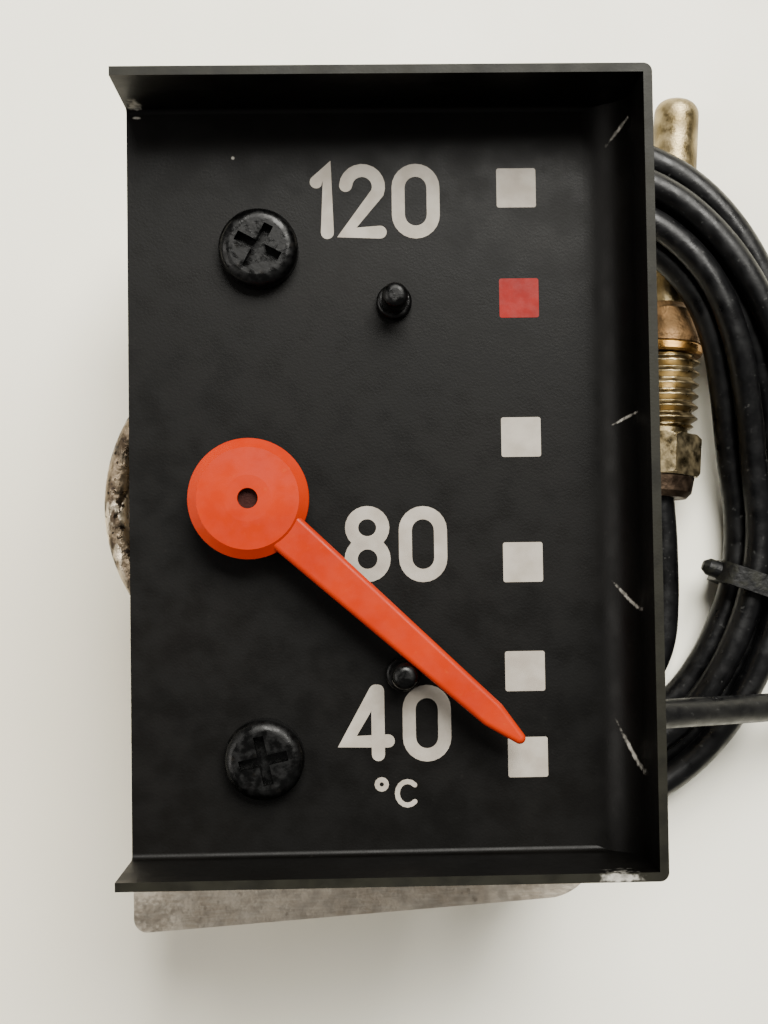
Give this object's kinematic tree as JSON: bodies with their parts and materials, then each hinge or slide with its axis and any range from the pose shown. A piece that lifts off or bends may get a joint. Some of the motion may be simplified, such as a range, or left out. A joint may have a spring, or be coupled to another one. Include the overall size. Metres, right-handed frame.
{
  "type": "capillary temperature gauge insert",
  "caption": "Rectangular dial insert of a remote capillary thermometer: shielded dial, sweeping pointer, Bourdon movement, sheathed capillary coil and a threaded probe.",
  "frame": {"origin": "on the surface the gauge lies on, under the middle of the box round the gauge itself; the capillary and the probe are not counted", "axes": "+Z out of the dial towards the reader, +Y towards the high end of the scale, +X towards the marks and the coiled line"},
  "size_m": [0.0665, 0.0706, 0.039],
  "materials": {
    "black_paint": "semi-matt black paint",
    "orange_pointer": "semi-gloss orange-red",
    "blackened_steel": "semi-matt black over steel",
    "plated_steel": "dull zinc plating",
    "steel": "plain turned steel",
    "brass": "plain machined brass",
    "spring_bronze": "polished spring bronze",
    "dark_bronze": "tarnished bronze with bright solder",
    "bulb_brass": "aged brass",
    "nut_brass": "satin brass",
    "brown_bronze": "browned bronze",
    "golden_copper": "golden copper",
    "black_sheath": "soft black sheath, semi-gloss",
    "tie_wire": "dark plastic-covered wire"
  },
  "bodies": {
    "base": {"dial_shield": "black_paint", "stop_pins": "black_paint", "dial_screws": "blackened_steel", "mounting_plate": "plated_steel", "dial_pillars": "steel", "stud_nuts": "plated_steel", "stud_washers": "plated_steel", "movement_bridge": "brass", "bridge_pillars": "brass", "bridge_screws": "steel", "socket_screws": "steel", "bearing_bushes": "brass", "hairspring": "spring_bronze", "hairspring_stud": "brass", "tube_socket": "brass", "capillary_gland": "brass", "probe_bulb": "bulb_brass", "sealing_cone": "brown_bronze", "seal_ring": "golden_copper", "probe_collar": "black_sheath", "capillary_coil": "black_sheath", "capillary_lead": "black_sheath", "capillary_tail": "black_sheath", "coil_tie": "tie_wire"},
    "pointer": {"pointer": "orange_pointer", "pointer_arbor": "steel", "pinion": "brass", "hairspring_collet": "brass"},
    "sector": {"sector_gear": "brass", "sector_arbor": "steel", "sector_pin": "steel"},
    "tube": {"bourdon_tube": "dark_bronze", "tube_tip": "dark_bronze", "tip_pin": "steel"},
    "link": {"tip_link": "steel"},
    "nut": {"union_nut": "nut_brass"}
  },
  "joints": [
    {"name": "tube_flex", "type": "hinge", "parent": "base", "child": "tube", "pos_m": [-0.00063, -0.00826, 0.0184], "axis": [0, 0, 1], "range_deg": [-5.91, 0]},
    {"name": "pointer_sweep", "type": "hinge", "parent": "base", "child": "pointer", "pos_m": [-0.00775, 0.00276, 0.031], "axis": [0, 0, 1], "range_deg": [0, 89]},
    {"name": "sector_swing", "type": "hinge", "parent": "base", "child": "sector", "pos_m": [0.00125, 0.00276, 0.0187], "axis": [0, 0, 1], "range_deg": [-22.25, 0]},
    {"name": "link_turn", "type": "hinge", "parent": "tube", "child": "link", "pos_m": [0.00583, 0.0059, 0.0198], "axis": [0, 0, 1], "range_deg": [-2.6, 0]},
    {"name": "union_nut_turn", "type": "hinge", "parent": "base", "child": "nut", "pos_m": [0.02662, 0.00728, 0.00375], "axis": [0.0756, 0.9957, -0.0541], "continuous": true}
  ],
  "couplings": [
    {"joint": "pointer_sweep", "follows": "tube_flex", "ratio": -15.067},
    {"joint": "sector_swing", "follows": "tube_flex", "ratio": 3.7667},
    {"joint": "link_turn", "follows": "tube_flex", "ratio": 0.4403}
  ]
}
